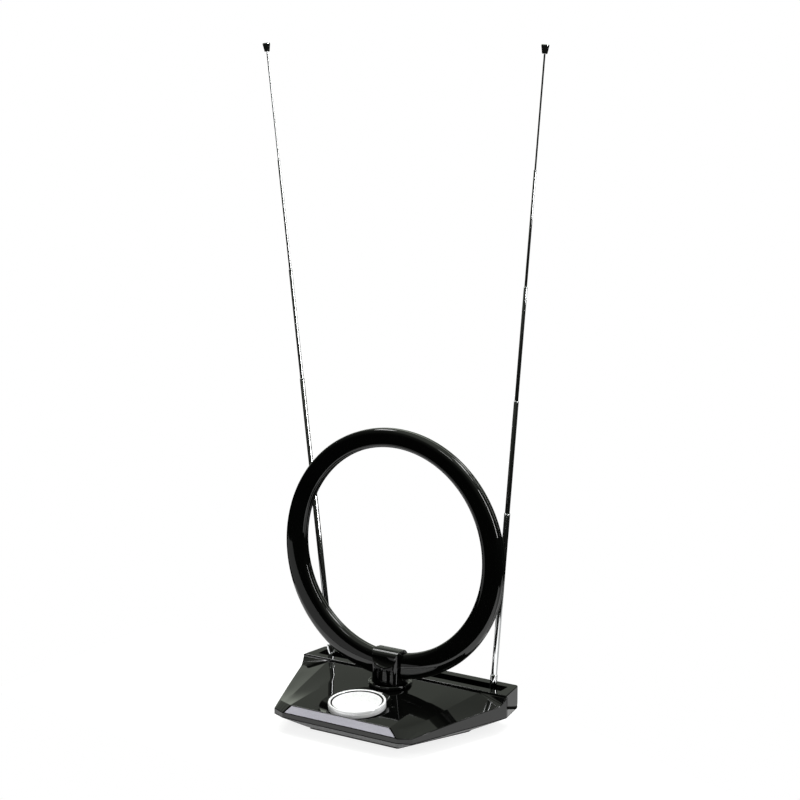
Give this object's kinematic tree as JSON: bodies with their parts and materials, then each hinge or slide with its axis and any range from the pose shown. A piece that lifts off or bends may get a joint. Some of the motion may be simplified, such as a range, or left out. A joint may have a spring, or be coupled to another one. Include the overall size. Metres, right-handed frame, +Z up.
{
  "type": "rabbit ears antenna",
  "caption": "Free-standing indoor television antenna: faceted base with gain knob, upright loop on a turntable and telescopic rods folding into a rear trough.",
  "frame": {"origin": "centre of the underside of the anti-slip pad, on the surface that the antenna stands on, below the middle of the base plan", "axes": "+Z up, front of the base (gain knob) towards -Y, trough and sockets towards +Y, +X to the right seen from the front"},
  "size_m": [0.2424, 0.1181, 0.5085],
  "materials": {
    "gloss_black": "polished black moulding",
    "matt_black": "matt black",
    "trim_lilac": "satin pale lilac grey",
    "pad_rubber": "matt anti-slip rubber",
    "steel": "zinc-plated",
    "black_steel": "blackened",
    "board_green": "solder-mask green laminate",
    "socket_nickel": "nickel plated",
    "brass": "bright brass",
    "copper": "bare copper-coloured strip",
    "knob_silver": "satin silver, bright rim",
    "rod_chrome": "polished chrome plate"
  },
  "bodies": {
    "base": {"base_top_shell": "gloss_black", "base_bottom_shell": "gloss_black", "front_trim_strip": "trim_lilac", "anti_slip_pad": "pad_rubber", "cover_screw_1": "steel", "cover_screw_2": "steel", "cover_screw_3": "steel", "cover_screw_4": "steel", "ballast_plate": "steel", "shield_can": "steel", "potentiometer_body": "steel", "rod_bracket_left": "black_steel", "rod_bracket_right": "black_steel", "bracket_screw_left": "black_steel", "bracket_screw_right": "black_steel", "pivot_pin_left": "black_steel", "pivot_pin_right": "black_steel", "amplifier_board": "board_green", "gain_board": "board_green", "coax_socket": "socket_nickel", "coax_centre_contact": "brass", "power_contact": "brass", "power_socket": "matt_black", "gain_ribbon": "matt_black", "loop_lead": "matt_black", "rod_lead_left": "matt_black", "rod_lead_right": "matt_black"},
    "gain_knob": {"knob_body": "knob_silver", "knob_face": "knob_silver", "potentiometer_shaft": "steel"},
    "loop": {"loop_front_shell": "gloss_black", "loop_rear_shell": "gloss_black", "loop_conductor": "copper", "loop_saddle_front": "gloss_black", "loop_saddle_rear": "gloss_black", "saddle_screw_1": "steel", "saddle_screw_2": "steel", "loop_turntable": "gloss_black", "turntable_clip": "steel"},
    "rod_left": {"rod_knuckle_left": "rod_chrome", "rod_tube_left_1": "rod_chrome"},
    "rod_left_section_2": {"rod_tube_left_2": "rod_chrome"},
    "rod_left_section_3": {"rod_tube_left_3": "rod_chrome"},
    "rod_left_section_4": {"rod_tube_left_4": "rod_chrome"},
    "rod_left_tip": {"rod_tip_left": "rod_chrome", "rod_cap_left": "rod_chrome"},
    "rod_right": {"rod_knuckle_right": "rod_chrome", "rod_tube_right_1": "rod_chrome"},
    "rod_right_section_2": {"rod_tube_right_2": "rod_chrome"},
    "rod_right_section_3": {"rod_tube_right_3": "rod_chrome"},
    "rod_right_section_4": {"rod_tube_right_4": "rod_chrome"},
    "rod_right_tip": {"rod_tip_right": "rod_chrome", "rod_cap_right": "rod_chrome"}
  },
  "joints": [
    {"name": "gain_knob_turn", "type": "hinge", "parent": "base", "child": "gain_knob", "pos_m": [0, -0.0315, 0.0249], "axis": [0, -0.0636, 0.998], "range_deg": [-150, 150]},
    {"name": "loop_swivel", "type": "hinge", "parent": "base", "child": "loop", "pos_m": [0, 0.014, 0.028], "axis": [0, 0, 1], "range_deg": [-8, 8]},
    {"name": "rod_left_tilt", "type": "hinge", "parent": "base", "child": "rod_left", "pos_m": [-0.0712, 0.0406, 0.024], "axis": [0, 1, 0], "range_deg": [-41, 93.2]},
    {"name": "rod_left_slide_1", "type": "slide", "parent": "rod_left", "child": "rod_left_section_2", "axis": [-0.1167, 0, 0.9932], "range_m": [-0.0835, 0]},
    {"name": "rod_left_slide_2", "type": "slide", "parent": "rod_left_section_2", "child": "rod_left_section_3", "axis": [-0.1167, 0, 0.9932], "range_m": [-0.083, 0]},
    {"name": "rod_left_slide_3", "type": "slide", "parent": "rod_left_section_3", "child": "rod_left_section_4", "axis": [-0.1167, 0, 0.9932], "range_m": [-0.0825, 0]},
    {"name": "rod_left_slide_4", "type": "slide", "parent": "rod_left_section_4", "child": "rod_left_tip", "axis": [-0.1167, 0, 0.9932], "range_m": [-0.0812, 0]},
    {"name": "rod_right_tilt", "type": "hinge", "parent": "base", "child": "rod_right", "pos_m": [0.0712, 0.0468, 0.024], "axis": [0, 1, 0], "range_deg": [-91, 43]},
    {"name": "rod_right_slide_1", "type": "slide", "parent": "rod_right", "child": "rod_right_section_2", "axis": [0.0771, 0, 0.997], "range_m": [-0.0835, 0]},
    {"name": "rod_right_slide_2", "type": "slide", "parent": "rod_right_section_2", "child": "rod_right_section_3", "axis": [0.0771, 0, 0.997], "range_m": [-0.083, 0]},
    {"name": "rod_right_slide_3", "type": "slide", "parent": "rod_right_section_3", "child": "rod_right_section_4", "axis": [0.0771, 0, 0.997], "range_m": [-0.0825, 0]},
    {"name": "rod_right_slide_4", "type": "slide", "parent": "rod_right_section_4", "child": "rod_right_tip", "axis": [0.0771, 0, 0.997], "range_m": [-0.0812, 0]}
  ]
}
